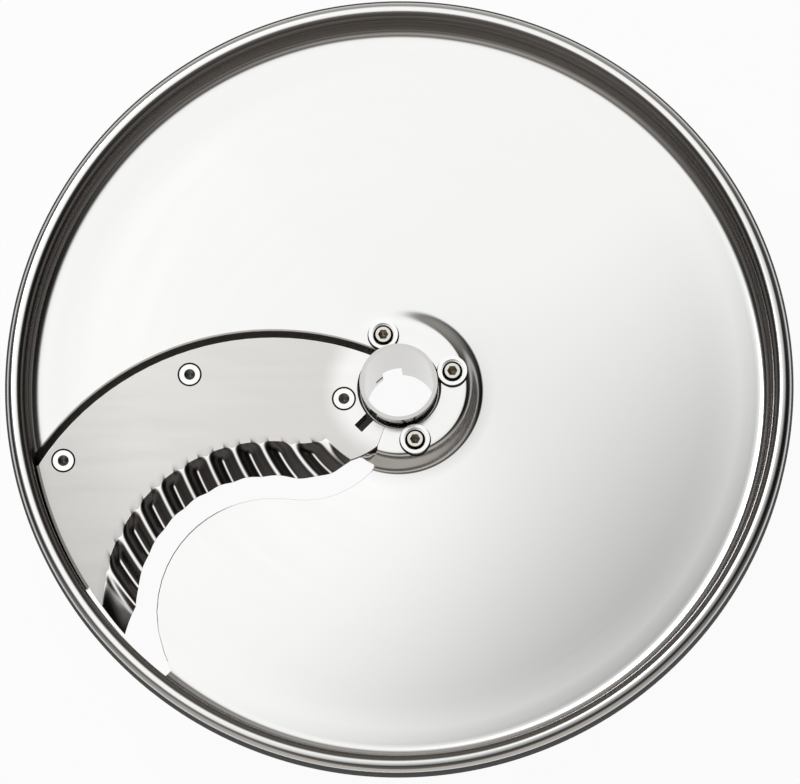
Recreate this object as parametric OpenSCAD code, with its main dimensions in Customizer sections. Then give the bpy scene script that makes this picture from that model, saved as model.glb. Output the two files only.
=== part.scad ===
// Ripple cut disc for a vegetable slicer, in millimetres.
// The axis of the drive tube is the Z axis, and the disc stands on the tube's lower end at Z = 0.
// Angles run anticlockwise from +X, seen from above. The disc turns anticlockwise.

/* [Plate] */
// Diameter over the rolled rim
disc_d = 205; // [196:1:215]
// Thickness of the pressed sheet
plate_t = 1.5; // [1.2:0.1:1.8]
// Depth that the plate falls in its turn
plate_fall = 7; // [5.5:0.5:8.5]
// Angle where the plate begins to fall
fall_from = 125; // [115:1:135]
// Angle over which the plate falls, clockwise
fall_turn = 270; // [262:1:276]

/* [Rim] */
// Height of the rim's crest above the boss
rim_h = 8.6; // [8.2:0.1:10.5]
// Width of the rolled rim
rim_w = 5.2; // [4.6:0.1:6]
// Length of the rim's outer skirt below its curl
skirt_h = 4.6; // [3:0.1:5.4]
// Width of the fillet between plate and rim
fillet_w = 8.7; // [7:0.1:10]
// Height of the fillet between plate and rim
fillet_h = 6; // [4.5:0.1:6.5]
// Squareness of the fillet, where 2 is an ellipse
fillet_power = 2.5; // [2:0.1:3]
// Radius of the tight corner beside the blade seat
seat_corner = 1; // [0.8:0.1:1.4]

/* [Boss] */
// Diameter of the flat boss round the hub
boss_d = 34.4; // [33.6:0.2:36]
// Width of the shoulder round the boss
shoulder_w = 4.8; // [4:0.1:5.6]
// Gap all round between drive tube and plate
hub_gap = 0.85; // [0.5:0.05:1.1]
// Width of the notch beside the hub
notch_w = 2.4; // [2:0.1:3]
// Length of the notch beyond the hub hole
notch_l = 4.2; // [3.4:0.1:4.6]
// Angle of the notch
notch_angle = 223; // [220:1:226]

/* [Blade outline] */
// Centre of the outer sweep, in X
sweep_x = -33; // [-35:0.5:-31]
// Centre of the outer sweep, in Y
sweep_y = -58; // [-60:0.5:-56]
// Centre of the inner sweep, in X
root_x = -25; // [-26:0.5:-24]
// Centre of the inner sweep, in Y
root_y = -4.3; // [-5.3:0.1:-3.3]
// Radius of the plate's edge at the slice gap
mouth_r = 30; // [29:0.5:31]
// Width of the slice gap, seen from above
slice_gap = 5; // [4.6:0.1:6]
// Run of the rippled lip, from bend to cutting edge
lip_run = 8.8; // [8:0.1:9.4]
// Width of the blade, from cutting edge to back
blade_w = 36.2; // [34:0.2:37]
// Gap between the blade's back and the foot of the step
back_gap = 0.5; // [0.3:0.1:0.8]
// Width of the sloped step behind the blade
step_w = 1.9; // [1.5:0.1:2.4]
// Distance from the lip's bend to the seat's front edge
seat_set = 4; // [3.2:0.1:5]
// Gap between the blade's outer end and the rim
end_gap = 1.3; // [1.3:0.1:1.8]
// Angle of the blade's inner end
nose_angle = 250; // [247:1:252]

/* [Blade lip] */
// Thickness of the blade
blade_t = 2; // [1.6:0.1:2.2]
// Depth of the cutting edge below the blade's top
lip_drop = 3.3; // [2.8:0.1:3.8]
// Half the height of a ripple
ripple_h = 0.9; // [0.7:0.1:1.3]
// Distance between ripples
ripple_pitch = 7.17; // [6.9:0.05:7.3]
// Number of ripple crests
ripple_count = 10; // [8:1:10]
// Radius of the innermost ripple crest
ripple_r = 24.6; // [24:0.1:25.2]
// Thickness left at the cutting edge
edge_t = 0.3; // [0.2:0.05:0.5]
// How far the lip's outer tip is cut back
tip_trim = 3.5; // [2.5:0.1:4.5]

/* [Drive tube] */
// Outer diameter of the drive tube
tube_d = 20.3; // [19.6:0.1:20.8]
// Diameter of the tube's bore
bore_d = 18.3; // [17.6:0.1:18.6]
// Length of the tube below the boss
tube_drop = 29; // [25:0.5:33]
// Length of the tube above the boss
tube_rise = 8; // [6:0.5:10]
// Width of the two drive slots
slot_w = 5.3; // [4.5:0.1:6]
// Height of the two drive slots
slot_h = 9.3; // [7:0.1:11]
// Angle of the first drive slot
slot_angle = 105.5; // [100:0.5:108]
// Diameter of the small hole in the tube wall
vent_d = 2.6; // [2:0.1:3]
// Height of the small hole above the tube's lower end
vent_h = 4.2; // [3:0.1:6]
// Angle of the small hole
vent_angle = 130; // [128:1:140]
// Thickness of the clamp flange under the boss
flange_t = 3; // [2.5:0.1:4]
// Distance from the flange's edge to the edge of the boss
flange_inset = 0.4; // [0.2:0.1:1]

/* [Hub screws] */
// Radius of the circle of hub screws
hub_screw_r = 14.5; // [14.3:0.1:14.8]
// Angle of the first hub screw
hub_screw_angle = 17; // [15:1:20]
// Diameter of a bush's head
bush_d = 7.7; // [7:0.1:8]
// Diameter of the well in a bush's head
well_d = 5.9; // [5.7:0.1:6.1]
// Height of a bush above the boss
bush_rise = 2; // [1.7:0.1:2.4]
// Diameter of a bush's shank
shank_d = 5; // [4.6:0.1:5.2]
// Diameter of a button head
button_d = 5.4; // [5.1:0.1:5.6]
// Height of a button head
button_h = 1.6; // [1.4:0.1:1.65]

/* [Blade screws] */
// Radius of the inner blade screw from the axis
inner_screw_r = 14.7; // [14.5:0.1:14.9]
// Angle of the inner blade screw
inner_screw_angle = 191.4; // [189:0.2:194]
// Radius of the middle blade screw from the axis
middle_screw_r = 54.9; // [52:0.1:58]
// Distance of the middle blade screw from the blade's back
middle_screw_set = 6; // [5:0.1:7]
// Distance of the outer blade screw from the blade's outer end
outer_screw_end = 6.4; // [5.5:0.1:9]
// Distance of the outer blade screw from the blade's back
outer_screw_set = 4.5; // [4:0.1:6]
// Diameter of a countersunk head
sunk_d = 5.4; // [5:0.1:5.6]
// Diameter of the screw threads
thread_d = 3; // [2.6:0.1:3.1]
// Length of a blade screw
sunk_l = 6; // [5.5:0.1:6.4]
// Width of a nut across its flats
nut_w = 5.5; // [5.2:0.1:6]
// Thickness of a nut
nut_t = 2.4; // [1.8:0.1:2.4]

/* [Hidden] */
$fn = 64;

steel = [0.80, 0.80, 0.79];
blade_steel = [0.74, 0.73, 0.71];
screw_steel = [0.68, 0.67, 0.62];

// Room past a face that a cut goes through
cut = 1;
// Play round a thread, a shank and a hole that a screw only passes
thread_play = 0.05;
pass_play = 0.15;
// Room that the blade leaves round a bush
bush_room = 0.3;
// Width of the visible ring round a countersunk head
ring_play = 0.35;
// Sheet drawn inside the hub hole before the hole is cut
hub_excess = 1.5;
// Height left between the fillet and the curl of the rim
curl_room = 0.2;

// Levels
boss_z = tube_drop;
seat_z = boss_z - blade_t;
seat_under = seat_z - plate_t;
flange_z = seat_under - flange_t;
crest_z = boss_z + rim_h;
curl_r = rim_w / 2;
curl_z = crest_z - curl_r;

// Radii from the axis
disc_r = disc_d / 2;
wall_r = disc_r - rim_w;
boss_r = boss_d / 2;
hole_r = tube_d / 2 + hub_gap;
seat_end_r = wall_r - seat_corner;
blade_end_r = wall_r - end_gap;
fillet_rise = min(fillet_h, curl_z - boss_z - curl_room);

// Radii of the blade's curves about the centre of the outer sweep
edge_r = mouth_r + slice_gap;
bend_r = edge_r + lip_run;
seat_r = bend_r + seat_set;
back_r = edge_r + blade_w;
foot_r = back_r + back_gap;
step_r = foot_r + step_w;

sweep = [sweep_x, sweep_y];
root = [root_x, root_y];
sweep_d = norm(sweep);
root_d = norm(root);
sweep_angle = atan2(sweep_y, sweep_x) + 360;
root_angle = atan2(root_y, root_x) + 360;
centres = norm(root - sweep);

// The blade's flat nose lies on the boss, and its ripples begin here
nose_inset = 0.8;
nose_r = boss_r - nose_inset;
lip_start_r = ripple_r - ripple_pitch / 4;
ripple_end_r = ripple_r + (ripple_count - 1) * ripple_pitch;
// The slice gap begins on the shoulder, beside the nose, and ends at the rim, where its arc is cut short
gap_start_share = 0.7;
gap_start_r = boss_r + gap_start_share * shoulder_w;
mouth_cut = 2.7;
gap_end_r = sweep_d + mouth_r - mouth_cut;
// Angles from the nose to the seat's edge, to the boss beside it and to the shoulder beyond
seat_turn = 0.2;
boss_turn = 0.4;
plate_turn = 1.2;

function clamp(x, low, high) = max(low, min(high, x));
function mix(a, b, t) = a + (b - a) * t;
function smooth(t) = let (c = clamp(t, 0, 1)) c * c * (3 - 2 * c);
function polar(r, a, z) = [r * cos(a), r * sin(a), z];

// Angle at which the circle of radius r about the axis meets a circle of radius c about the outer sweep
function outer_angle(r, c) =
    sweep_angle - acos(clamp((r * r + sweep_d * sweep_d - c * c) / (2 * r * sweep_d), -1, 1));
// The same for the inner sweep, whose circles touch those of the outer sweep and turn the other way
function inner_angle(r, c) =
    let (inner = centres - c)
    root_angle + acos(clamp((r * r + root_d * root_d - inner * inner) / (2 * r * root_d), -1, 1));
// Angle of an S-shaped curve of the blade: its two arcs meet where they touch
function s_angle(r, c) =
    r > norm(sweep + (root - sweep) * c / centres) ? outer_angle(r, c) : inner_angle(r, c);
// Angle of the blade's front where it is flat, beside the hub
function nose_at(r) =
    mix(nose_angle, s_angle(lip_start_r, edge_r), clamp((r - nose_r) / (lip_start_r - nose_r), 0, 1));

// A sheet from two grids of points, its top and its underside. cells[i][j] says whether the sheet
// is there between rows i and i + 1 and columns j and j + 1. A wrapped sheet closes on itself.
module sheet(top, under, cells, wrapped) {
    rows = len(top);
    columns = len(top[0]);
    low = rows * columns;
    across = wrapped ? columns : columns - 1;
    function at(i, j) = i * columns + j % columns;
    function there(i, j) =
        i < 0 || i > rows - 2 ? false
        : wrapped ? cells[i][(j + columns) % columns]
        : j < 0 || j > columns - 2 ? false : cells[i][j];
    faces = [
        for (i = [0 : rows - 2], j = [0 : across - 1])
            if (there(i, j))
                let (a = at(i, j), b = at(i + 1, j), c = at(i + 1, j + 1), d = at(i, j + 1))
                each concat(
                    [[a, d, c], [a, c, b], [a + low, b + low, c + low], [a + low, c + low, d + low]],
                    there(i - 1, j) ? [] : [[d, a, a + low, d + low]],
                    there(i + 1, j) ? [] : [[b, c, c + low, b + low]],
                    there(i, j - 1) ? [] : [[a, b, b + low, a + low]],
                    there(i, j + 1) ? [] : [[c, d, d + low, c + low]])
    ];
    polyhedron(concat([for (row = top) each row], [for (row = under) each row]), faces);
}

// Columns of the carrier plate: the falling plate, the step, the blade seat and the slice gap
plate_steps = 64;
step_steps = 2;
seat_steps = 4;
gap_steps = 4;
step_column = plate_steps;
seat_column = step_column + step_steps;
gap_column = seat_column + seat_steps;
plate_columns = gap_column + gap_steps;

function plate_edge(r) =
    r <= nose_r ? nose_angle + boss_turn
    : min(nose_angle + plate_turn, s_angle(min(r, gap_end_r), mouth_r));
function seat_edge(r) = r <= gap_start_r ? nose_at(r) + seat_turn : s_angle(min(r, seat_end_r), seat_r);
function step_edge(r) = outer_angle(min(r, seat_end_r), step_r);
function foot_edge(r) = outer_angle(min(r, seat_end_r), foot_r);

function plate_angle(r, j) =
    j <= step_column ? mix(plate_edge(r) - 360, step_edge(r), j / plate_steps)
    : j <= seat_column ? mix(step_edge(r), foot_edge(r), (j - step_column) / step_steps)
    : j <= gap_column ? mix(foot_edge(r), seat_edge(r), (j - seat_column) / seat_steps)
    : mix(seat_edge(r), plate_edge(r), (j - gap_column) / gap_steps);

// Level of the falling plate, with the shoulder that leads up to the boss
function falling_z(r, a) =
    let (t = clamp((fall_from - a) / fall_turn, 0, 1))
    boss_z - plate_fall * mix(t, smooth(t), 0.35) * smooth((r - boss_r) / shoulder_w);
function floor_z(r, j) =
    j <= step_column ? falling_z(r, plate_angle(r, j))
    : j <= seat_column ? mix(falling_z(r, step_edge(r)), seat_z, (j - step_column) / step_steps)
    : j <= gap_column ? seat_z
    : mix(seat_z, falling_z(r, plate_edge(r) - 360), (j - gap_column) / gap_steps);

// How far a column has turned from plate to seat, which has the tighter corner at the rim
function seat_share(j) =
    j <= step_column ? 0
    : j <= seat_column ? (j - step_column) / step_steps
    : j <= gap_column ? 1 : 1 - (j - gap_column) / gap_steps;
function corner_w(j) = mix(fillet_w, seat_corner, seat_share(j));
function corner_h(j) = mix(fillet_rise, seat_corner, seat_share(j));

// Rows of the carrier plate from the hub outward: flat rows, fillet, curl and skirt
shoulder_shares = [0, 0.25, 0.47, gap_start_share];
floor_shares = [0, 0.03, 0.075, 0.135, 0.21, 0.3, 0.405, 0.525, 0.645, 0.765, 0.885];
flat_rows = concat(
    [hole_r - hub_excess, nose_r],
    [for (share = shoulder_shares) boss_r + share * shoulder_w],
    [for (share = floor_shares) mix(boss_r + shoulder_w, wall_r - fillet_w, share)]);
fillet_turns = [0, 25, 45, 65, 90];
curl_turns = [180, 144, 108, 72, 36, 0];
gap_row = 1 + len(shoulder_shares);
rim_row = len(flat_rows) + len(fillet_turns);

// One column of the plate's section: [radius, top level, radius and level of the underside]
function flat_radii(j) = concat(flat_rows, [mix(flat_rows[len(flat_rows) - 1], wall_r - corner_w(j), 0.5)]);
function section(j) = concat(
    [for (r = flat_radii(j)) [r, floor_z(r, j), r, floor_z(r, j) - plate_t]],
    [for (turn = fillet_turns)
        let (r = wall_r - corner_w(j) * (1 - pow(sin(turn), 2 / fillet_power)))
        let (z = floor_z(wall_r - corner_w(j), j) + corner_h(j) * (1 - pow(cos(turn), 2 / fillet_power)))
        [r, z, r + plate_t * sin(turn), z - plate_t * cos(turn)]],
    [for (turn = curl_turns)
        let (r = disc_r - curl_r, inside = curl_r - plate_t)
        [r + curl_r * cos(turn), curl_z + curl_r * sin(turn),
            r + inside * cos(turn), curl_z + inside * sin(turn)]],
    [[disc_r, curl_z - skirt_h, disc_r - plate_t, curl_z - skirt_h]]);

module plate_sheet() {
    sections = [for (j = [0 : plate_columns - 1]) section(j)];
    rows = len(sections[0]);
    top = [for (i = [0 : rows - 1]) [for (j = [0 : plate_columns - 1])
        let (s = sections[j][i]) polar(s[0], plate_angle(s[0], j), s[1])]];
    under = [for (i = [0 : rows - 1]) [for (j = [0 : plate_columns - 1])
        let (s = sections[j][i]) polar(s[2], plate_angle(s[0], j), s[3])]];
    cells = [for (i = [0 : rows - 2]) [for (j = [0 : plate_columns - 1])
        j < gap_column || i < gap_row || i >= rim_row]];
    sheet(top, under, cells, true);
}

// Places of the fasteners
outer_screw_r = blade_end_r - outer_screw_end;
hub_places = [for (k = [1, 0, -1]) polar(hub_screw_r, hub_screw_angle + 90 * k, boss_z)];
blade_places = [
    polar(inner_screw_r, inner_screw_angle, boss_z),
    polar(middle_screw_r, outer_angle(middle_screw_r, back_r - middle_screw_set), boss_z),
    polar(outer_screw_r, outer_angle(outer_screw_r, back_r - outer_screw_set), boss_z)];

// A hole straight down through everything at each place
module holes(places, d) {
    for (place = places)
        translate([place.x, place.y, flange_z - cut])
            cylinder(d = d, h = crest_z - flange_z);
}

// The radial notch beside the hub, which plate and blade share
module notch() {
    rotate(notch_angle)
        translate([0, -notch_w / 2, seat_under - cut])
            cube([hole_r + notch_l, notch_w, blade_t + plate_t + 2 * cut]);
}

module hub_hole() {
    translate([0, 0, seat_under - cut])
        cylinder(r = hole_r, h = blade_t + plate_t + 2 * cut);
}

// The pressed sheet: falling plate, boss, blade seat and rolled rim in one piece
module carrier_plate() {
    color(steel)
        difference() {
            plate_sheet();
            hub_hole();
            notch();
            holes(hub_places, shank_d + 2 * pass_play);
            holes(blade_places, thread_d + 2 * pass_play);
        }
}

// The blade: a flat sheet whose front bends down into a rippled lip with a ground edge
lip_shares = [0.14, 0.32, 0.55, 0.78, 1];
flat_shares = [0, 0.4, 0.8, 1];
rows_per_ripple = 8;
tip_rows = 5;
// Softness of the lip's bend, and the further dip of its outer tip, as shares of the lip
bend_soft = 0.2;
tip_dip = 0.4;
// Shares of the lip's run at which the ripples have reached their full height and the grinding begins
ripple_start = 0.4;
grind_start = 0.55;

function tip_share(r) = clamp((r - ripple_end_r) / (blade_end_r - ripple_end_r), 0, 1);
function lip_share(r) = smooth((r - lip_start_r) / (ripple_r - lip_start_r));
function ripple_share(r) = lip_share(r) * (1 - smooth((r - ripple_end_r) / (ripple_pitch / 3)));
function lip_curve(u) = (norm([u, bend_soft]) - bend_soft) / (norm([1, bend_soft]) - bend_soft);
function lip_front(r) = edge_r + tip_trim * tip_share(r);
function ripple(r) = ripple_h * ripple_share(r) * cos(360 * (r - ripple_r) / ripple_pitch);
function lip_z(r, u) =
    boss_z - lip_drop * lip_share(r) * (1 + tip_dip * tip_share(r)) * lip_curve(u)
    + ripple(r) * smooth(u / ripple_start);
function lip_t(r, u) =
    mix(blade_t, edge_t, clamp((u - grind_start) / (1 - grind_start), 0, 1) * lip_share(r));

// Angles of a row's points from back to front. Beside the nose they keep the shares of the lip's first row.
function lip_columns(r) = concat(
    [for (f = flat_shares) mix(outer_angle(r, back_r), s_angle(r, bend_r), f)],
    [for (u = lip_shares) s_angle(r, mix(bend_r, lip_front(r), u))]);
first_columns = lip_columns(lip_start_r);
function first_share(j) =
    (first_columns[j] - first_columns[0]) / (first_columns[len(first_columns) - 1] - first_columns[0]);
function blade_columns(r) =
    r >= lip_start_r ? lip_columns(r)
    : [for (j = [0 : len(first_columns) - 1]) mix(outer_angle(r, back_r), nose_at(r), first_share(j))];
blade_shares = concat([for (f = flat_shares) 0], lip_shares);
blade_rows = concat(
    [hole_r - hub_excess, mix(hole_r, nose_r, 0.4), nose_r],
    [for (share = [0.35, 0.7]) mix(nose_r, lip_start_r, share)],
    [for (k = [-rows_per_ripple / 4 : rows_per_ripple * (ripple_count - 1)])
        ripple_r + k * ripple_pitch / rows_per_ripple],
    [for (k = [1 : tip_rows]) mix(ripple_end_r, blade_end_r, k / tip_rows)]);

module blade_sheet() {
    angles = [for (r = blade_rows) blade_columns(r)];
    rows = len(blade_rows);
    columns = len(blade_shares);
    top = [for (i = [0 : rows - 1]) [for (j = [0 : columns - 1])
        let (r = blade_rows[i]) polar(r, angles[i][j], lip_z(r, blade_shares[j]))]];
    under = [for (i = [0 : rows - 1]) [for (j = [0 : columns - 1])
        let (p = top[i][j]) [p.x, p.y, p.z - lip_t(blade_rows[i], blade_shares[j])]]];
    cells = [for (i = [0 : rows - 2]) [for (j = [0 : columns - 2]) true]];
    sheet(top, under, cells, false);
}

sink_h = 1.4;
module ripple_blade() {
    color(blade_steel)
        difference() {
            blade_sheet();
            hub_hole();
            notch();
            holes(blade_places, thread_d + 2 * pass_play);
            holes(hub_places, bush_d + 2 * bush_room);
            for (place = blade_places)
                translate([place.x, place.y, boss_z - sink_h])
                    cylinder(r1 = sunk_d / 2 + ring_play - sink_h, r2 = sunk_d / 2 + ring_play + cut,
                        h = sink_h + cut);
        }
}

// The turned hub: a drive tube with a clamp flange under the boss
module drive_hub() {
    color(steel)
        difference() {
            union() {
                cylinder(d = tube_d, h = tube_drop + tube_rise);
                translate([0, 0, flange_z])
                    cylinder(r = boss_r - flange_inset, h = flange_t);
            }
            translate([0, 0, -cut])
                cylinder(d = bore_d, h = tube_drop + tube_rise + 2 * cut);
            rotate(slot_angle)
                translate([-tube_d, -slot_w / 2, -cut])
                    cube([2 * tube_d, slot_w, slot_h + cut]);
            translate([0, 0, vent_h])
                rotate([0, 90, vent_angle])
                    cylinder(d = vent_d, h = tube_d);
            for (place = concat(hub_places, [blade_places[0]]))
                translate([place.x, place.y, flange_z - cut])
                    cylinder(d = thread_d + 2 * thread_play, h = flange_t + 2 * cut);
        }
}

// A socket or recess ends in a drilled point
function point_h(d) = 0.3 * d;
module point(d) {
    translate([0, 0, -point_h(d)])
        cylinder(d1 = 0, d2 = d, h = point_h(d));
}

// A headed bush that lifts a hub screw through the boss and rests on the flange
well_h = bush_rise - 0.2;
module hub_bush(k) {
    color(steel)
        translate(hub_places[k])
            difference() {
                union() {
                    cylinder(d = bush_d, h = bush_rise);
                    translate([0, 0, -blade_t - plate_t])
                        cylinder(d = shank_d, h = blade_t + plate_t + bush_rise / 2);
                }
                translate([0, 0, bush_rise - well_h])
                    cylinder(d = well_d, h = well_h + cut);
                translate([0, 0, -blade_t - plate_t - cut])
                    cylinder(d = thread_d + 2 * pass_play, h = blade_t + plate_t + bush_rise + cut);
            }
}

// A button-head socket screw, seated in the bush's well
hex_w = 2.4;
hex_z = 0.4 * button_h;
crown_d = 4;
module hub_screw(k) {
    color(screw_steel)
        translate(hub_places[k] + [0, 0, bush_rise - well_h])
            difference() {
                union() {
                    rotate_extrude()
                        polygon([[0, 0], [button_d / 2, 0], [button_d / 2 - 0.1, 0.45 * button_h],
                            [mix(crown_d, button_d, 0.5) / 2, 0.85 * button_h], [crown_d / 2, button_h],
                            [0, button_h]]);
                    translate([0, 0, -blade_t - plate_t - flange_t])
                        cylinder(d = thread_d, h = blade_t + plate_t + flange_t + button_h / 2);
                }
                translate([0, 0, hex_z]) {
                    cylinder(d = hex_w / cos(30), h = button_h, $fn = 6);
                    point(hex_w);
                }
            }
}

// A countersunk screw, flush with the blade
recess_d = 2.9;
recess_h = 0.9;
module blade_screw(k) {
    cone_h = (sunk_d - thread_d) / 2;
    color(screw_steel)
        translate(blade_places[k])
            difference() {
                union() {
                    translate([0, 0, -ring_play])
                        cylinder(d = sunk_d, h = ring_play);
                    translate([0, 0, -ring_play - cone_h])
                        cylinder(d1 = thread_d, d2 = sunk_d, h = cone_h);
                    translate([0, 0, -sunk_l])
                        cylinder(d = thread_d, h = sunk_l - ring_play);
                }
                translate([0, 0, -recess_h]) {
                    cylinder(d = recess_d, h = recess_h + cut);
                    point(recess_d);
                }
            }
}

// A hexagon nut under the blade seat
module blade_nut(k) {
    color(screw_steel)
        translate([blade_places[k].x, blade_places[k].y, seat_under - nut_t])
            difference() {
                cylinder(d = nut_w / cos(30), h = nut_t, $fn = 6);
                translate([0, 0, -cut])
                    cylinder(d = thread_d + 2 * thread_play, h = nut_t + 2 * cut);
            }
}

carrier_plate();
ripple_blade();
drive_hub();
hub_bush(0);  // hub_bush_1
hub_bush(1);  // hub_bush_2
hub_bush(2);  // hub_bush_3
hub_screw(0);  // hub_screw_1
hub_screw(1);  // hub_screw_2
hub_screw(2);  // hub_screw_3
blade_screw(0);  // blade_screw_1
blade_screw(1);  // blade_screw_2
blade_screw(2);  // blade_screw_3
blade_nut(1);  // blade_nut_1
blade_nut(2);  // blade_nut_2
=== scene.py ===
import math

import bpy
from mathutils import Matrix, Vector


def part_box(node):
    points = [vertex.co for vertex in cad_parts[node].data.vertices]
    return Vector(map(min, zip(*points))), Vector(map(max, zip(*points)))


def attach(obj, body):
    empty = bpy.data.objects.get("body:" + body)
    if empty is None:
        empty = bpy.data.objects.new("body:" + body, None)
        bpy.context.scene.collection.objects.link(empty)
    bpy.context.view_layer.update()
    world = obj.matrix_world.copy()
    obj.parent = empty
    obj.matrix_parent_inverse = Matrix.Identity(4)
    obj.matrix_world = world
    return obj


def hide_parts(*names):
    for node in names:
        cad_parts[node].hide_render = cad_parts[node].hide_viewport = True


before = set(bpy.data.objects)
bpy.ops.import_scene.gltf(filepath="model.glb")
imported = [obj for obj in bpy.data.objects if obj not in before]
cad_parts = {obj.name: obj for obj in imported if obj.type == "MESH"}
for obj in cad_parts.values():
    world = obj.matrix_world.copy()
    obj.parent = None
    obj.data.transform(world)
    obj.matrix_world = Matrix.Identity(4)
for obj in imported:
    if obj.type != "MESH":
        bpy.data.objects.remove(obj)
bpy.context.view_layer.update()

# Lengths are in millimetres up to the point where a mesh is made, and angles in degrees
MM = 0.001

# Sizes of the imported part
disc_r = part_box("carrier_plate")[1].x / MM
crest_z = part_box("carrier_plate")[1].z / MM
boss_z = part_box("blade_screw_1")[1].z / MM
crown_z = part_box("hub_screw_1")[1].z / MM

# Plate, rim and boss
plate_t = 1.5
plate_fall = 7
fall_from = 125
fall_turn = 270
fall_ease = 0.35
rim_w = 5.2
skirt_h = 4.6
fillet_w = 5.2
fillet_h = 6
fillet_power = 3
dish_from = 82
dish_h = 0.42
curl_room = 0.2
seat_corner = 1
boss_r = 17.2
shoulder_w = 4.8
hole_r = 11
tube_r = 10.15
tube_play = 0.1
notch_w = 2.7
notch_l = 4.2
notch_angle = 225.5

# Outline of the blade, by circles about two centres
sweep = Vector((-33, -58))
root = Vector((-25, -4.3))
mouth_r = 30
slice_gap = 5
lip_run = 8.8
blade_w = 36.2
back_gap = 0.5
step_w = 1.9
seat_set = 4
end_gap = 1.3
nose_angle = 250
nose_inset = 0.8
gap_start_share = 0.7
mouth_cut = 2.7
seat_turn = 0.2
boss_turn = 0.4
plate_turn = 1.2
edge_round = 0.3
step_soft = 0.25

# Lip of the blade
blade_t = 2
lip_drop = 1.2
ripple_h = 0.9
ripple_pitch = 7.17
ripple_count = 10
ripple_r = 24.6
edge_t = 0.3
tip_trim = 3.5
bend_soft = 0.1
tip_dip = 2
ripple_start = 0.3
ripple_skew = 0.14
grind_start = 0.55
ring_play = 0.35
sink_h = 1.4

# Worked out from these
seat_z = boss_z - blade_t
curl_r = rim_w / 2
curl_z = crest_z - curl_r
wall_r = disc_r - rim_w
seat_end_r = wall_r - seat_corner
blade_end_r = wall_r - end_gap
fillet_rise = min(fillet_h, curl_z - boss_z - curl_room)
edge_r = mouth_r + slice_gap
bend_r = edge_r + lip_run
seat_r = bend_r + seat_set
back_r = edge_r + blade_w
foot_r = back_r + back_gap
step_r = foot_r + step_w
sweep_d = sweep.length
root_d = root.length
sweep_angle = math.degrees(math.atan2(sweep.y, sweep.x)) + 360
root_angle = math.degrees(math.atan2(root.y, root.x)) + 360
centres = (root - sweep).length
nose_r = boss_r - nose_inset
lip_start_r = ripple_r - ripple_pitch / 4
ripple_end_r = ripple_r + (ripple_count - 1) * ripple_pitch
ripple_fade = ripple_pitch / 3
gap_start_r = boss_r + gap_start_share * shoulder_w
gap_end_r = sweep_d + mouth_r - mouth_cut

# How finely the two sheets are drawn
plate_steps = 270
step_steps = 8
seat_steps = 60
gap_steps = 30
shoulder_rows = 16
floor_rows = 22
fillet_rows = 18
curl_rows = 24
skirt_rows = 3
rows_per_ripple = 22
nose_rows = 14
tip_rows = 20
flat_columns = 16
lip_columns = 22
hub_rows = 6
countersink_steps = 72
sharp_angle = 32

# Places that get another colour than the rest of their material, most of them painted shade and painted
# highlights: radii from the axis, rings round the fasteners, and limits of level and slope
rim_wall_shade_from = (95.2, 96.3)
rim_wall_shade_to = (98.7, 99.3)
bush_shadow_ring = 0.28
screw_shadow_ring = 0.12
crown_r = 2
blade_inner = (14, 21)
blade_outer = (65, 100)
lip_reach = 5
flat_play = 0.03
flank_shade_slope = (0.93, 0.985)
upright_slope = 0.25

# Colours of the pieces, each followed by those of its places that look different, most of which are
# painted shade and painted highlights
plate_colour = (0.80, 0.80, 0.79)
rim_wall_shade_colour = (0.2, 0.185, 0.175)
gap_shadow_colour = (0.04, 0.036, 0.033)
blade_colour = (0.78, 0.77, 0.76)
blade_inner_colour = (0.58, 0.565, 0.55)
blade_outer_colour = (0.46, 0.45, 0.435)
off_flat_shade_colour = (0.05, 0.047, 0.045)
crest_highlight_colour = (0.88, 0.87, 0.86)
flank_shade_colour = (0.13, 0.122, 0.118)
cut_edge_shade_colour = (0.06, 0.055, 0.05)
hub_colour = (0.56, 0.55, 0.53)
flange_shade_colour = (0.03, 0.027, 0.024)
bush_colour = (0.84, 0.84, 0.83)
nut_colour = (0.84, 0.83, 0.80)
button_colour = (0.66, 0.64, 0.59)
button_socket_shade_colour = (0.4, 0.35, 0.28)
button_brim_shade_colour = (0.02, 0.018, 0.016)
flush_colour = (0.86, 0.85, 0.83)
flush_socket_shade_colour = (0.3, 0.32, 0.3)

# Grain of the metal: its detail, the part of its range that shows, and its height in metres
grain_detail = 4
grain_span = (0.3, 0.7)
grain_height = 0.0002

# Room light: positions from 0 to 1 along a ramp, with grey levels
ceiling_centre = (-0.12, 0.25, 0)
ceiling_levels = [(0, 1), (0.3, 0.98), (0.4, 0.88), (0.5, 0.35), (0.6, 0.08), (0.75, 0)]
room_levels = [(0, 0.5), (0.2, 0.36), (0.3, 0.18), (0.4, 0.05), (0.46, 0.018)]
room_levels += [(0.55, 0.015), (0.75, 0.05), (0.9, 0.3), (1, 0.42)]
room_warmth = 0.12
skyline_levels = [(0, 0.5), (0.2, 0.45), (0.3, 0.05), (0.38, 0)]
skyline_warmth = 0.04
room_strength = 1.15

# Lamp and floor, in metres
lamp_place = Vector((-0.55, 0.5, 1.1))
lamp_size = 0.7
lamp_energy = 4
floor_half = 6
floor_colour = (0.9, 0.9, 0.9)
floor_glow = 0.94

# Dark cards: the one over the disc spans near to far along its X axis, the one on the floor is a ring
shade_span = (-30, 220)
shade_half = 220
shade_fade = (-15, 120)
shade_darkness = 0.72
shade_height = 180
shade_turn = -45
ring_span = (103, 420)
ring_steps = 96
ring_fade = (420, 250)
ring_darkness = 0.92
ring_height = 2

# Camera
camera_azimuth = 7.14
camera_elevation = 78.77
camera_roll = 6.91
camera_distance = 1.5
camera_target = (0.21, -1.13, boss_z)
camera_lens = 258.8
camera_sensor = 36


def clamp(x, low, high):
    return max(low, min(high, x))


def mix(a, b, t):
    return a + (b - a) * t


def smooth(t):
    c = clamp(t, 0, 1)
    return c * c * (3 - 2 * c)


def spread(a, b, count):
    """count + 1 values from a to b, both included."""
    return [mix(a, b, i / count) for i in range(count + 1)]


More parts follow.
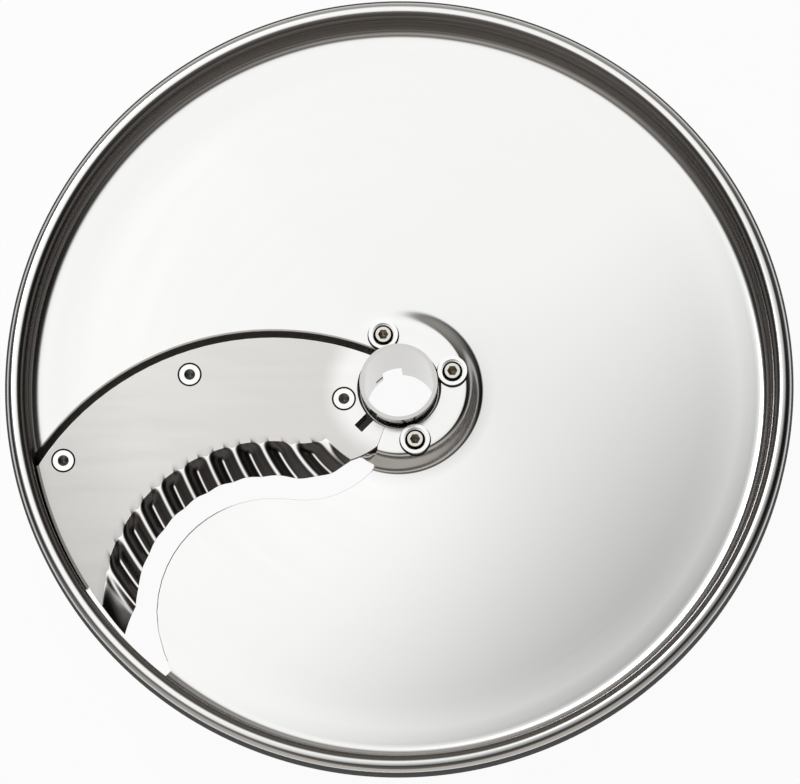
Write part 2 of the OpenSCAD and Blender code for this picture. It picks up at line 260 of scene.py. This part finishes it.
def polar(r, angle, z):
    turn = math.radians(angle)
    return (r * math.cos(turn), r * math.sin(turn), z)


def meeting_angle(r, distance, circle_r):
    """Angle from a circle's centre to the point where it meets the circle of radius r about the axis."""
    cosine = (r * r + distance * distance - circle_r * circle_r) / (2 * r * distance)
    return math.degrees(math.acos(clamp(cosine, -1, 1)))


def outer_angle(r, circle_r):
    return sweep_angle - meeting_angle(r, sweep_d, circle_r)


def inner_angle(r, circle_r):
    return root_angle + meeting_angle(r, root_d, centres - circle_r)


def s_angle(r, circle_r):
    """Angle of an S-shaped curve of the blade: its two arcs meet where they touch."""
    touching = (sweep + (root - sweep) * circle_r / centres).length
    return outer_angle(r, circle_r) if r > touching else inner_angle(r, circle_r)


def nose_at(r):
    share = clamp((r - nose_r) / (lip_start_r - nose_r), 0, 1)
    return mix(nose_angle, s_angle(lip_start_r, edge_r), share)


# Angles of the carrier plate's edges
def plate_edge(r):
    if r <= nose_r:
        return nose_angle + boss_turn
    return min(nose_angle + plate_turn, s_angle(min(r, gap_end_r), mouth_r))


def seat_edge(r):
    return nose_at(r) + seat_turn if r <= gap_start_r else s_angle(min(r, seat_end_r), seat_r)


def step_edge(r):
    return outer_angle(min(r, seat_end_r), step_r)


def foot_edge(r):
    return outer_angle(min(r, seat_end_r), foot_r)


def falling_z(r, angle):
    """Level of the falling plate, with the shoulder that leads up to the boss."""
    t = clamp((fall_from - angle) / fall_turn, 0, 1)
    return boss_z - plate_fall * mix(t, smooth(t), fall_ease) * smooth((r - boss_r) / shoulder_w)


def new_mesh(name, points, faces):
    """An object with a mesh, both of one name. Its points are in metres."""
    mesh = bpy.data.meshes.new(name)
    mesh.from_pydata(points, [], faces)
    piece = bpy.data.objects.new(name, mesh)
    bpy.context.scene.collection.objects.link(piece)
    return piece


def sheet(name, top, under, present, wrapped):
    """A closed sheet between two grids of points. present(i, j) says whether the cell between rows i and
    i + 1 and columns j and j + 1 is there. A wrapped sheet closes on itself."""
    rows, columns = len(top), len(top[0])
    low = rows * columns
    across = columns if wrapped else columns - 1

    def there(i, j):
        if i < 0 or i > rows - 2 or (not wrapped and (j < 0 or j > columns - 2)):
            return False
        return present(i, j % columns)

    faces = []
    for i in range(rows - 1):
        for j in range(across):
            if not there(i, j):
                continue
            after = (j + 1) % columns
            a, b = i * columns + j, (i + 1) * columns + j
            c, d = (i + 1) * columns + after, i * columns + after
            faces += [(a, b, c, d), (d + low, c + low, b + low, a + low)]
            if not there(i - 1, j):
                faces.append((a, d, d + low, a + low))
            if not there(i + 1, j):
                faces.append((c, b, b + low, c + low))
            if not there(i, j - 1):
                faces.append((b, a, a + low, b + low))
            if not there(i, j + 1):
                faces.append((d, c, c + low, d + low))
    points = [Vector(p) * MM for grid in (top, under) for row in grid for p in row]
    used = sorted({k for face in faces for k in face})
    place = {k: n for n, k in enumerate(used)}
    piece = new_mesh(name, [points[k] for k in used], [[place[k] for k in face] for face in faces])
    piece.data.validate()
    return piece


def node_centre(name):
    low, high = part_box(name)
    return (low + high) / 2 / MM


def node_radius(name):
    low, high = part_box(name)
    return (high.x - low.x) / 2 / MM


def notch_part():
    """Corners and faces of the box that cuts the notch beside the hub, which plate and blade share."""
    turn = math.radians(notch_angle)
    along = Vector((math.cos(turn), math.sin(turn), 0))
    across = Vector((-math.sin(turn), math.cos(turn), 0))
    corners = [
        along * r + across * side * notch_w / 2 + Vector((0, 0, z))
        for z in (seat_z - 2 * plate_t, boss_z + plate_t)
        for r, side in ((0, -1), (hole_r + notch_l, -1), (hole_r + notch_l, 1), (0, 1))
    ]
    return corners, [(3, 2, 1, 0), (4, 5, 6, 7), (0, 1, 5, 4), (1, 2, 6, 5), (2, 3, 7, 6), (3, 0, 4, 7)]


def countersink_part(screw):
    """Points and faces of the turned shape that cuts a screw's hole and countersink in the blade."""
    middle = node_centre(screw)
    centre = Vector((middle.x, middle.y, 0))
    top_r = node_radius(screw) + ring_play
    depth = blade_t + plate_t
    profile = [
        (top_r - sink_h, boss_z - depth),
        (top_r - sink_h, boss_z - sink_h),
        (top_r, boss_z),
        (top_r, boss_z + depth),
    ]
    count = countersink_steps
    points = [centre + Vector(polar(r, 360 * k / count, z)) for r, z in profile for k in range(count)]
    faces = [tuple(range(count))[::-1], tuple(range(len(points) - count, len(points)))]
    for ring in range(len(profile) - 1):
        for k in range(count):
            a, b = ring * count + k, ring * count + (k + 1) % count
            faces.append((a, b, b + count, a + count))
    return points, faces


def cut(piece, parts):
    """Takes closed parts, each given as points and faces, out of a piece."""
    points, faces = [], []
    for part_points, part_faces in parts:
        faces += [tuple(k + len(points) for k in face) for face in part_faces]
        points += [p * MM for p in part_points]
    cutter = new_mesh("cutter", points, faces)
    modifier = piece.modifiers.new("cut", "BOOLEAN")
    modifier.operation = "DIFFERENCE"
    modifier.solver = "MANIFOLD"
    modifier.object = cutter
    bpy.context.view_layer.update()
    result = bpy.data.meshes.new_from_object(piece.evaluated_get(bpy.context.evaluated_depsgraph_get()))
    piece.modifiers.clear()
    piece.data = result
    bpy.data.objects.remove(cutter)


def finish_piece(piece, node, material):
    """Smooths a piece, keeps its sharp edges, gives it its material and puts it in the place of a node."""
    for face in piece.data.polygons:
        face.use_smooth = True
    piece.data.set_sharp_from_angle(angle=math.radians(sharp_angle))
    piece.data.materials.clear()
    piece.data.materials.append(material)
    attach(piece, "root")
    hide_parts(node)


def build_plate():
    """The pressed sheet: falling plate, boss, blade seat and rolled rim in one piece."""
    step_column = plate_steps
    seat_column = step_column + step_steps
    gap_column = seat_column + seat_steps
    columns = gap_column + gap_steps

    def angle_at(r, j):
        if j == 1:
            return plate_edge(r) - 360 + math.degrees(edge_round / r)
        if j <= step_column:
            return mix(plate_edge(r) - 360, step_edge(r), j / plate_steps)
        if j <= seat_column:
            return mix(step_edge(r), foot_edge(r), (j - step_column) / step_steps)
        if j <= gap_column:
            return mix(foot_edge(r), seat_edge(r), (j - seat_column) / seat_steps)
        return mix(seat_edge(r), plate_edge(r), (j - gap_column) / gap_steps)

    def floor_z(r, j):
        if j <= step_column:
            return falling_z(r, angle_at(r, j))
        if j <= seat_column:
            share = (j - step_column) / step_steps
            return mix(falling_z(r, step_edge(r)), seat_z, mix(share, smooth(share), step_soft))
        if j <= gap_column:
            return seat_z
        return mix(seat_z, falling_z(r, plate_edge(r) - 360), (j - gap_column) / gap_steps)

    def seat_share(j):
        if j <= step_column:
            return 0
        if j <= seat_column:
            return (j - step_column) / step_steps
        return 1 if j <= gap_column else 1 - (j - gap_column) / gap_steps

    shoulder = spread(boss_r, boss_r + shoulder_w, shoulder_rows)
    shoulder = sorted(shoulder + [gap_start_r])
    flat_rows = spread(hole_r, nose_r, 4) + shoulder
    gap_row = flat_rows.index(gap_start_r)
    start_r = boss_r + shoulder_w
    curl = spread(180, 0, curl_rows)

    def worn(r, j):
        """Depth by which the edge at the slice gap is rounded."""
        return edge_round if j == 0 and r > gap_start_r else 0

    def dish(r, j):
        """Height by which the plate curves up before the corner at the rim."""
        share = max(r - dish_from, 0) / (wall_r - fillet_w - dish_from)
        return dish_h * share * share * (1 - seat_share(j))

    def section(j):
        corner_w = mix(fillet_w, seat_corner, seat_share(j))
        corner_h = mix(fillet_rise, seat_corner, seat_share(j))
        corner_r = wall_r - corner_w
        radii = flat_rows + spread(start_r, corner_r, floor_rows)[1:]
        levels = [floor_z(r, j) + dish(r, j) for r in radii]
        points = [(r, z - worn(r, j), r, z - plate_t) for r, z in zip(radii, levels)]
        for turn in spread(0, math.pi / 2, fillet_rows)[1:]:
            r = corner_r + corner_w * math.sin(turn) ** (2 / fillet_power)
            z = levels[-1] + corner_h * (1 - max(math.cos(turn), 0) ** (2 / fillet_power))
            points.append((r, z, r + plate_t * math.sin(turn), z - plate_t * math.cos(turn)))
        for turn in curl:
            out, up = math.cos(math.radians(turn)), math.sin(math.radians(turn))
            r, inside = disc_r - curl_r, curl_r - plate_t
            points.append((r + curl_r * out, curl_z + curl_r * up, r + inside * out, curl_z + inside * up))
        for drop in spread(0, skirt_h, skirt_rows)[1:]:
            points.append((disc_r, curl_z - drop, disc_r - plate_t, curl_z - drop))
        return points

    sections = [section(j) for j in range(columns)]
    rows = len(sections[0])
    rim_row = len(flat_rows) + floor_rows + fillet_rows
    top, under = [], []
    for i in range(rows):
        angles = [angle_at(sections[j][i][0], j) for j in range(columns)]
        top.append([polar(sections[j][i][0], angles[j], sections[j][i][1]) for j in range(columns)])
        under.append([polar(sections[j][i][2], angles[j], sections[j][i][3]) for j in range(columns)])
    piece = sheet(
        "pressed_plate", top, under, lambda i, j: j < gap_column or i < gap_row or i >= rim_row, True
    )
    cut(piece, [notch_part()])
    return piece


def build_blade():
    """The blade: a flat sheet whose front bends down into a rippled lip with a ground edge."""

    def tip_share(r):
        return clamp((r - ripple_end_r) / (blade_end_r - ripple_end_r), 0, 1)

    def lip_share(r):
        return smooth((r - lip_start_r) / (ripple_r - lip_start_r))

    def ripple(r):
        """Depth of the ripples below their crests."""
        share = lip_share(r) * (1 - smooth((r - ripple_end_r) / ripple_fade))
        turn = math.tau * (r - ripple_r) / ripple_pitch
        return ripple_h * share * (1 - math.cos(turn - ripple_skew * math.sin(turn)))

    def lip_curve(u):
        return (math.hypot(u, bend_soft) - bend_soft) / (math.hypot(1, bend_soft) - bend_soft)

    def lip_z(r, u):
        drop = lip_drop * lip_share(r) * (1 + tip_dip * tip_share(r)) * lip_curve(u)
        return boss_z - drop - ripple(r) * math.sin(math.pi / 2 * clamp(u / ripple_start, 0, 1))

    def lip_t(r, u):
        return mix(blade_t, edge_t, clamp((u - grind_start) / (1 - grind_start), 0, 1) * lip_share(r))

    flat_shares = spread(0, 1, flat_columns)
    lip_shares = spread(0, 1, lip_columns)[1:]
    shares = [0] * len(flat_shares) + lip_shares

    def lip_angles(r):
        back, bend = outer_angle(r, back_r), s_angle(r, bend_r)
        front = edge_r + tip_trim * tip_share(r)
        lip = [s_angle(r, mix(bend_r, front, u)) for u in lip_shares]
        return [mix(back, bend, f) for f in flat_shares] + lip

    first = lip_angles(lip_start_r)
    first_shares = [(angle - first[0]) / (first[-1] - first[0]) for angle in first]

    def angles_at(r):
        if r >= lip_start_r:
            return lip_angles(r)
        return [mix(outer_angle(r, back_r), nose_at(r), share) for share in first_shares]

    ripple_rows = int(rows_per_ripple * (ripple_count - 1 + 1 / 4))
    radii = (
        spread(hole_r, nose_r, hub_rows)[:-1]
        + spread(nose_r, lip_start_r, nose_rows)[:-1]
        + spread(lip_start_r, ripple_end_r, ripple_rows)[:-1]
        + spread(ripple_end_r, blade_end_r, tip_rows)
    )
    top, under = [], []
    for r in radii:
        row = [polar(r, angle, lip_z(r, u)) for angle, u in zip(angles_at(r), shares)]
        top.append(row)
        under.append([(x, y, z - lip_t(r, u)) for (x, y, z), u in zip(row, shares)])
    piece = sheet("rippled_blade", top, under, lambda i, j: True, False)
    cut(piece, [notch_part()] + [countersink_part(f"blade_screw_{k}") for k in (1, 2, 3)])
    return piece


def math_step(graph, operation, *values):
    """A Math node. Each value is a number or another node's output."""
    nodes, links = graph
    step = nodes.new("ShaderNodeMath")
    step.operation = operation
    for socket, value in zip(step.inputs, values):
        if isinstance(value, (int, float)):
            socket.default_value = value
        else:
            links.new(value, socket)
    return step.outputs["Value"]


def fade(graph, value, start, end, interpolation="SMOOTHSTEP"):
    """0 where the value is start, 1 where it is end. An end below the start is allowed."""
    nodes, links = graph
    span = nodes.new("ShaderNodeMapRange")
    span.interpolation_type = interpolation
    span.inputs["From Min"].default_value = start
    span.inputs["From Max"].default_value = end
    links.new(value, span.inputs["Value"])
    return span


def blend(graph, mask, first, second):
    """A colour, or a node's output, that turns into another colour where the mask is 1."""
    nodes, links = graph
    shades = nodes.new("ShaderNodeMix")
    shades.data_type = "RGBA"
    for socket, value in ((shades.inputs["A"], first), (shades.inputs["B"], second)):
        if isinstance(value, tuple):
            socket.default_value = (*value, 1)
        else:
            links.new(value, socket)
    links.new(mask, shades.inputs["Factor"])
    return shades.outputs["Result"]


def object_place(graph):
    return graph[0].new("ShaderNodeTexCoord").outputs["Object"]


def split(graph, vector):
    nodes, links = graph
    parts = nodes.new("ShaderNodeSeparateXYZ")
    links.new(vector, parts.inputs[0])
    return parts.outputs


def flat_distance(graph, vector, centre=(0, 0, 0)):
    """Distance of a point from an upright axis."""
    nodes, links = graph
    flat = nodes.new("ShaderNodeVectorMath")
    flat.operation = "MULTIPLY"
    flat.inputs[1].default_value = (1, 1, 0)
    links.new(vector, flat.inputs[0])
    away = nodes.new("ShaderNodeVectorMath")
    away.operation = "DISTANCE"
    away.inputs[1].default_value = centre
    links.new(flat.outputs["Vector"], away.inputs[0])
    return away.outputs["Value"]


def ring_coordinates(graph, ring_scale, along_scale):
    """Texture coordinates for a turned grain: the radius, then the plain position, barely stretched."""
    nodes, links = graph
    place = object_place(graph)
    along = nodes.new("ShaderNodeVectorMath")
    along.operation = "SCALE"
    along.inputs["Scale"].default_value = along_scale
    links.new(place, along.inputs[0])
    parts = split(graph, along.outputs["Vector"])
    joined = nodes.new("ShaderNodeCombineXYZ")
    links.new(math_step(graph, "MULTIPLY", flat_distance(graph, place), ring_scale), joined.inputs["X"])
    links.new(parts["X"], joined.inputs["Y"])
    links.new(parts["Y"], joined.inputs["Z"])
    return joined.outputs["Vector"]


def line_coordinates(graph, scale, turn):
    """Texture coordinates for a straight grain, long in one direction."""
    nodes, links = graph
    mapping = nodes.new("ShaderNodeMapping")
    mapping.inputs["Rotation"].default_value = (0, 0, math.radians(turn))
    mapping.inputs["Scale"].default_value = scale
    links.new(object_place(graph), mapping.inputs["Vector"])
    return mapping.outputs["Vector"]


def turned(ring_scale, along_scale):
    return lambda graph: ring_coordinates(graph, ring_scale, along_scale)


def straight(scale, turn=0):
    return lambda graph: line_coordinates(graph, scale, turn)


def new_graph(block):
    """Nodes and links of a new material, world or the like."""
    block.use_nodes = True
    return block.node_tree.nodes, block.node_tree.links


def steel(name, colour, roughness, coordinates, tint=0.04, bump=0.02, anisotropic=0.0):
    """Metal with a fine grain in its colour, roughness and bump. Roughness is a lowest and highest value."""
    material = bpy.data.materials.new(name)
    graph = new_graph(material)
    nodes, links = graph
    shader = nodes["Principled BSDF"]
    shader.inputs["Metallic"].default_value = 1
    shader.inputs["Anisotropic"].default_value = anisotropic
    grain = nodes.new("ShaderNodeTexNoise")
    grain.inputs["Scale"].default_value = 1
    grain.inputs["Detail"].default_value = grain_detail
    links.new(coordinates(graph), grain.inputs["Vector"])
    dark = tuple(c * (1 - tint) for c in colour)
    light = tuple(min(c * (1 + tint), 1) for c in colour)
    links.new(blend(graph, grain.outputs["Fac"], dark, light), shader.inputs["Base Color"])
    span = fade(graph, grain.outputs["Fac"], *grain_span, "LINEAR")
    span.inputs["To Min"].default_value, span.inputs["To Max"].default_value = roughness
    links.new(span.outputs["Result"], shader.inputs["Roughness"])
    relief = nodes.new("ShaderNodeBump")
    relief.inputs["Strength"].default_value = bump
    relief.inputs["Distance"].default_value = grain_height
    links.new(grain.outputs["Fac"], relief.inputs["Height"])
    links.new(relief.outputs["Normal"], shader.inputs["Normal"])
    if anisotropic:
        tangent = nodes.new("ShaderNodeTangent")
        tangent.direction_type = "RADIAL"
        tangent.axis = "Z"
        links.new(tangent.outputs["Tangent"], shader.inputs["Tangent"])
    return material, graph


def paint(graph, mask, colour, roughness=None):
    """Gives a metal another colour, and roughness, where a mask is 1."""
    nodes, links = graph
    shader = nodes["Principled BSDF"]
    base, rough = shader.inputs["Base Color"], shader.inputs["Roughness"]
    links.new(blend(graph, mask, base.links[0].from_socket, colour), base)
    if roughness is not None:
        levels = nodes.new("ShaderNodeMix")
        levels.inputs["B"].default_value = roughness
        links.new(mask, levels.inputs["Factor"])
        links.new(rough.links[0].from_socket, levels.inputs["A"])
        links.new(levels.outputs["Result"], rough)


def radius_mask(graph, start_r, end_r):
    """1 at the radius end_r and beyond it, 0 at start_r."""
    away = flat_distance(graph, object_place(graph))
    return fade(graph, away, start_r * MM, end_r * MM).outputs["Result"]


def spot_mask(graph, centres, spot_r):
    """1 within a radius of any of some upright axes."""
    place = object_place(graph)
    spots = []
    for centre in centres:
        away = flat_distance(graph, place, (centre.x * MM, centre.y * MM, 0))
        spots.append(math_step(graph, "LESS_THAN", away, spot_r * MM))
    found = spots[0]
    for spot in spots[1:]:
        found = math_step(graph, "MAXIMUM", found, spot)
    return found


def opposite(graph, mask):
    return math_step(graph, "SUBTRACT", 1.0, mask)


def both(graph, first, second):
    return math_step(graph, "MULTIPLY", first, second)


def level_mask(graph, level, away):
    """1 where the surface lies further than away from a level."""
    height = split(graph, object_place(graph))["Z"]
    return opposite(graph, math_step(graph, "COMPARE", height, level * MM, away * MM))


def upright_share(graph, normal):
    """Size of a normal's upward part: 1 on level faces, 0 on upright ones."""
    shape = graph[0].new("ShaderNodeNewGeometry")
    return math_step(graph, "ABSOLUTE", split(graph, shape.outputs[normal])["Z"])


def slope_mask(graph, steep, level):
    """1 on slopes as steep as steep, 0 on slopes near level, both as the normal's upward part."""
    span = fade(graph, upright_share(graph, "Normal"), steep, level)
    span.inputs["To Min"].default_value, span.inputs["To Max"].default_value = 1, 0
    return span.outputs["Result"]


def edge_mask(graph):
    """1 on the upright faces of a cut sheet."""
    return math_step(graph, "LESS_THAN", upright_share(graph, "True Normal"), upright_slope)


def make_plate_steel():
    """Polished sheet, made rougher and painted dark as shade on the rim's inner wall, with a thin painted
    shadow line round each bush.
    """
    material, graph = steel(
        "plate_steel",
        plate_colour,
        roughness=(0.13, 0.16),
        coordinates=turned(700, 20),
        tint=0.01,
        bump=0.01,
        anisotropic=0.2,
    )
    # The rim's inner wall is painted dark as shade, and made rougher
    wall = both(graph, radius_mask(graph, *rim_wall_shade_from), opposite(graph, radius_mask(graph, *rim_wall_shade_to)))
    paint(graph, wall, rim_wall_shade_colour, roughness=0.25)
    # A thin ring round each bush is painted dark as the shadow in the gap at its foot
    bushes = [node_centre(f"hub_bush_{k}") for k in (1, 2, 3)]
    rings = spot_mask(graph, bushes, node_radius("hub_bush_1") + bush_shadow_ring)
    paint(graph, rings, gap_shadow_colour, roughness=0.5)
    return material


def make_blade_steel():
    """Satin sheet, darker outward, with a painted highlight on the lip's crests, and painted shade on its
    flanks, cut edges, off-level faces and round the screws.
    """
    material, graph = steel(
        "blade_steel",
        blade_colour,
        roughness=(0.2, 0.26),
        coordinates=straight((40, 300, 40), 20),
        tint=0.015,
        bump=0.01,
    )
    paint(graph, radius_mask(graph, *blade_inner), blade_inner_colour)
    paint(graph, radius_mask(graph, *blade_outer), blade_outer_colour)
    off_flat = level_mask(graph, boss_z, flat_play)
    lip = both(graph, off_flat, spot_mask(graph, [sweep], bend_r + lip_reach))
    # Every face off the blade's top level, such as its underside and countersink walls, is painted near
    # black as shade and made rougher; the lip is painted over next
    paint(graph, off_flat, off_flat_shade_colour, roughness=0.4)
    # The lip is made smoother and painted lighter as a painted highlight, which stays on its level crests
    paint(graph, lip, crest_highlight_colour, roughness=0.09)
    # The lip's steep flanks are painted dark as shade
    paint(graph, both(graph, lip, slope_mask(graph, *flank_shade_slope)), flank_shade_colour, roughness=0.22)
    # The blade's upright cut edges are painted dark as shade and made rougher
    paint(graph, edge_mask(graph), cut_edge_shade_colour, roughness=0.5)
    # A thin ring round each screw's countersink is painted dark as the shadow in the gap round it
    screws = [node_centre(f"blade_screw_{k}") for k in (1, 2, 3)]
    rings = spot_mask(graph, screws, node_radius("blade_screw_1") + ring_play + screw_shadow_ring)
    paint(graph, rings, gap_shadow_colour, roughness=0.5)
    return material


def make_hub_steel():
    """Turned metal. The clamp flange, seen only down the gap round the tube, is painted dark as the shade in
    that gap.
    """
    material, graph = steel(
        "hub_steel", hub_colour, roughness=(0.12, 0.2), coordinates=turned(1200, 60), tint=0.02
    )
    place = object_place(graph)
    below = math_step(graph, "LESS_THAN", split(graph, place)["Z"], (seat_z - plate_t / 2) * MM)
    beyond = math_step(graph, "GREATER_THAN", flat_distance(graph, place), (tube_r + tube_play) * MM)
    # The flange is painted dark as the shade down the gap round the tube
    paint(graph, both(graph, below, beyond), flange_shade_colour)
    return material


def make_hub_screw_steel():
    """A bright top ring round a socket painted brownish as shade, in an outer slope painted dark as shade.
    """
    material, graph = steel(
        "hub_screw_steel", button_colour, roughness=(0.14, 0.24), coordinates=straight((900, 900, 900))
    )
    # Everything below the crown's top, the socket with it, is painted brownish as shade and made rougher
    paint(graph, level_mask(graph, crown_z, flat_play), button_socket_shade_colour, roughness=0.35)
    crowns = spot_mask(graph, [node_centre(f"hub_screw_{k}") for k in (1, 2, 3)], crown_r)
    # Outside the crown the head's slope is painted near black as shade
    paint(graph, opposite(graph, crowns), button_brim_shade_colour, roughness=0.3)
    return material


def make_blade_screw_steel():
    """A bright flush head with its socket painted dark as shade."""
    material, graph = steel(
        "blade_screw_steel",
        flush_colour,
        roughness=(0.12, 0.18),
        coordinates=straight((900, 900, 900)),
        tint=0.02,
    )
    # Everything below the head's top, the socket with it, is painted dark as shade and made rougher
    paint(graph, level_mask(graph, boss_z, flat_play), flush_socket_shade_colour, roughness=0.3)
    return material


def make_bush_steel():
    """Bright turned metal, with a grain too fine to show a direction."""
    material, _ = steel(
        "bush_steel", bush_colour, roughness=(0.10, 0.18), coordinates=straight((700, 700, 700)), tint=0.02
    )
    return material


def make_nut_steel():
    """Bright metal, slightly warm."""
    material, _ = steel(
        "screw_steel", nut_colour, roughness=(0.14, 0.2), coordinates=straight((900, 900, 900)), tint=0.02
    )
    return material


def dress_node(name, material):
    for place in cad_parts[name].material_slots:
        place.material = material


def blank_material(name):
    """A material without a shader, and its nodes and links."""
    material = bpy.data.materials.new(name)
    graph = new_graph(material)
    graph[0].remove(graph[0]["Principled BSDF"])
    return material, graph


def mix_shaders(graph, share, first, second):
    """Mixes two shaders into the material's surface, where a share of 1 is the second."""
    nodes, links = graph
    mixed = nodes.new("ShaderNodeMixShader")
    links.new(share, mixed.inputs["Fac"])
    links.new(first, mixed.inputs[1])
    links.new(second, mixed.inputs[2])
    links.new(mixed.outputs["Shader"], nodes["Material Output"].inputs["Surface"])


def build_floor():
    """A pale floor that the camera and the metal see as nearly white, and that keeps the shadow."""
    corners = [(-floor_half, -floor_half, 0), (floor_half, -floor_half, 0)]
    corners += [(floor_half, floor_half, 0), (-floor_half, floor_half, 0)]
    floor = new_mesh("floor", corners, [(0, 1, 2, 3)])
    material, graph = blank_material("pale_floor")
    nodes = graph[0]
    diffuse = nodes.new("ShaderNodeBsdfDiffuse")
    diffuse.inputs["Color"].default_value = (*floor_colour, 1)
    glow = nodes.new("ShaderNodeEmission")
    glow.inputs["Color"].default_value = (1, 1, 1, 1)
    glow.inputs["Strength"].default_value = 1
    path = nodes.new("ShaderNodeLightPath")
    seen = path.outputs["Is Camera Ray"]
    for ray in ("Is Glossy Ray", "Is Transmission Ray"):
        seen = math_step(graph, "ADD", seen, path.outputs[ray])
        seen.node.use_clamp = True
    share = math_step(graph, "MULTIPLY", seen, floor_glow)
    mix_shaders(graph, share, diffuse.outputs["BSDF"], glow.outputs["Emission"])
    floor.data.materials.append(material)


def grey_ramp(graph, value, levels, warmth=0.0):
    """A ramp through grey levels, given as positions and levels. Warmth takes some blue and green out."""
    nodes, links = graph
    ramp = nodes.new("ShaderNodeValToRGB")
    stops = ramp.color_ramp.elements
    while len(stops) > 1:
        stops.remove(stops[-1])
    for k, (position, level) in enumerate(levels):
        stop = stops[0] if k == 0 else stops.new(position)
        stop.position = position
        stop.color = (level, level * (1 - warmth / 2), level * (1 - warmth), 1)
    links.new(value, ramp.inputs["Fac"])
    return ramp.outputs["Color"]


def build_light():
    """A bright ceiling with a soft edge in a dim, brownish room with a paler skyline, and one soft lamp."""
    world = bpy.data.worlds.new("studio")
    bpy.context.scene.world = world
    graph = new_graph(world)
    nodes, links = graph
    place = nodes.new("ShaderNodeTexCoord").outputs["Generated"]
    ceiling = grey_ramp(graph, flat_distance(graph, place, ceiling_centre), ceiling_levels)
    parts = split(graph, place)
    side = fade(graph, parts["Y"], -1, 1, "LINEAR").outputs["Result"]
    room = grey_ramp(graph, side, room_levels, room_warmth)
    height = fade(graph, parts["Z"], 0, 1, "LINEAR").outputs["Result"]
    skyline = grey_ramp(graph, height, skyline_levels, skyline_warmth)
    bright = ceiling
    for part in (room, skyline):
        lighter = nodes.new("ShaderNodeMix")
        lighter.data_type = "RGBA"
        lighter.blend_type = "LIGHTEN"
        lighter.inputs["Factor"].default_value = 1
        links.new(bright, lighter.inputs["A"])
        links.new(part, lighter.inputs["B"])
        bright = lighter.outputs["Result"]
    links.new(bright, nodes["Background"].inputs["Color"])
    nodes["Background"].inputs["Strength"].default_value = room_strength

    data = bpy.data.lights.new("soft_lamp", "AREA")
    data.shape = "DISK"
    data.size = lamp_size
    data.energy = lamp_energy
    lamp = bpy.data.objects.new("soft_lamp", data)
    lamp.location = lamp_place
    lamp.rotation_mode = "QUATERNION"
    lamp.rotation_quaternion = (-lamp_place).to_track_quat("-Z", "Y")
    bpy.context.scene.collection.objects.link(lamp)


def build_card(name, points, faces, measure, near, far, darkness):
    """A soft dark card that only the metal sees. It darkens from nothing to its full value between the
    distances near and far, measured from its origin or along its X axis."""
    card = new_mesh(name, [Vector(p) * MM for p in points], faces)
    card.visible_camera = False
    card.visible_shadow = False
    card.visible_diffuse = False
    material, graph = blank_material(name)
    nodes, links = graph
    place = object_place(graph)
    if measure == "distance":
        length = nodes.new("ShaderNodeVectorMath")
        length.operation = "LENGTH"
        links.new(place, length.inputs[0])
        away = length.outputs["Value"]
    else:
        away = split(graph, place)["X"]
    span = fade(graph, away, near * MM, far * MM)
    span.inputs["To Max"].default_value = darkness
    clear = nodes.new("ShaderNodeBsdfTransparent")
    dark = nodes.new("ShaderNodeEmission")
    dark.inputs["Color"].default_value = (0, 0, 0, 1)
    mix_shaders(graph, span.outputs["Result"], clear.outputs["BSDF"], dark.outputs["Emission"])
    card.data.materials.append(material)
    return card


def build_cards():
    """A card over the lower right of the disc, and a ring round it on the floor."""
    low, high = shade_span
    corners = [(low, -shade_half, 0), (high, -shade_half, 0), (high, shade_half, 0), (low, shade_half, 0)]
    shade = build_card("shade_card", corners, [(0, 1, 2, 3)], "along", *shade_fade, shade_darkness)
    shade.location = (0, 0, shade_height * MM)
    shade.rotation_euler = (0, 0, math.radians(shade_turn))
    count = ring_steps
    points = [polar(r, 360 * k / count, 0) for r in ring_span for k in range(count)]
    faces = [(k, count + k, count + (k + 1) % count, (k + 1) % count) for k in range(count)]
    ring = build_card("floor_card", points, faces, "distance", *ring_fade, ring_darkness)
    ring.location = (0, 0, ring_height * MM)


def build_camera():
    """The photograph's viewpoint: high above the disc, a little to one side, with a long lens."""
    azimuth = math.radians(camera_azimuth)
    elevation = math.radians(camera_elevation)
    roll = math.radians(camera_roll)
    back = Vector(
        (
            math.sin(azimuth) * math.cos(elevation),
            -math.cos(azimuth) * math.cos(elevation),
            math.sin(elevation),
        )
    )
    level = Vector((math.cos(azimuth), math.sin(azimuth), 0))
    upward = back.cross(level)
    right = level * math.cos(roll) - upward * math.sin(roll)
    up = level * math.sin(roll) + upward * math.cos(roll)
    data = bpy.data.cameras.new("camera")
    data.sensor_width = camera_sensor
    data.lens = camera_lens
    camera = bpy.data.objects.new("camera", data)
    bpy.context.scene.collection.objects.link(camera)
    turn = Matrix((right, up, back)).transposed().to_4x4()
    place = Vector(camera_target) * MM + back * camera_distance
    camera.matrix_world = Matrix.Translation(place) @ turn
    bpy.context.scene.camera = camera


finish_piece(build_plate(), "carrier_plate", make_plate_steel())
finish_piece(build_blade(), "ripple_blade", make_blade_steel())
dress_node("drive_hub", make_hub_steel())
bush_steel = make_bush_steel()
hub_screw_steel = make_hub_screw_steel()
blade_screw_steel = make_blade_screw_steel()
nut_steel = make_nut_steel()
for k in (1, 2, 3):
    dress_node(f"hub_bush_{k}", bush_steel)
    dress_node(f"hub_screw_{k}", hub_screw_steel)
    dress_node(f"blade_screw_{k}", blade_screw_steel)
for k in (1, 2):
    dress_node(f"blade_nut_{k}", nut_steel)

build_floor()
build_light()
build_cards()
build_camera()
bpy.context.scene.view_settings.view_transform = "Standard"
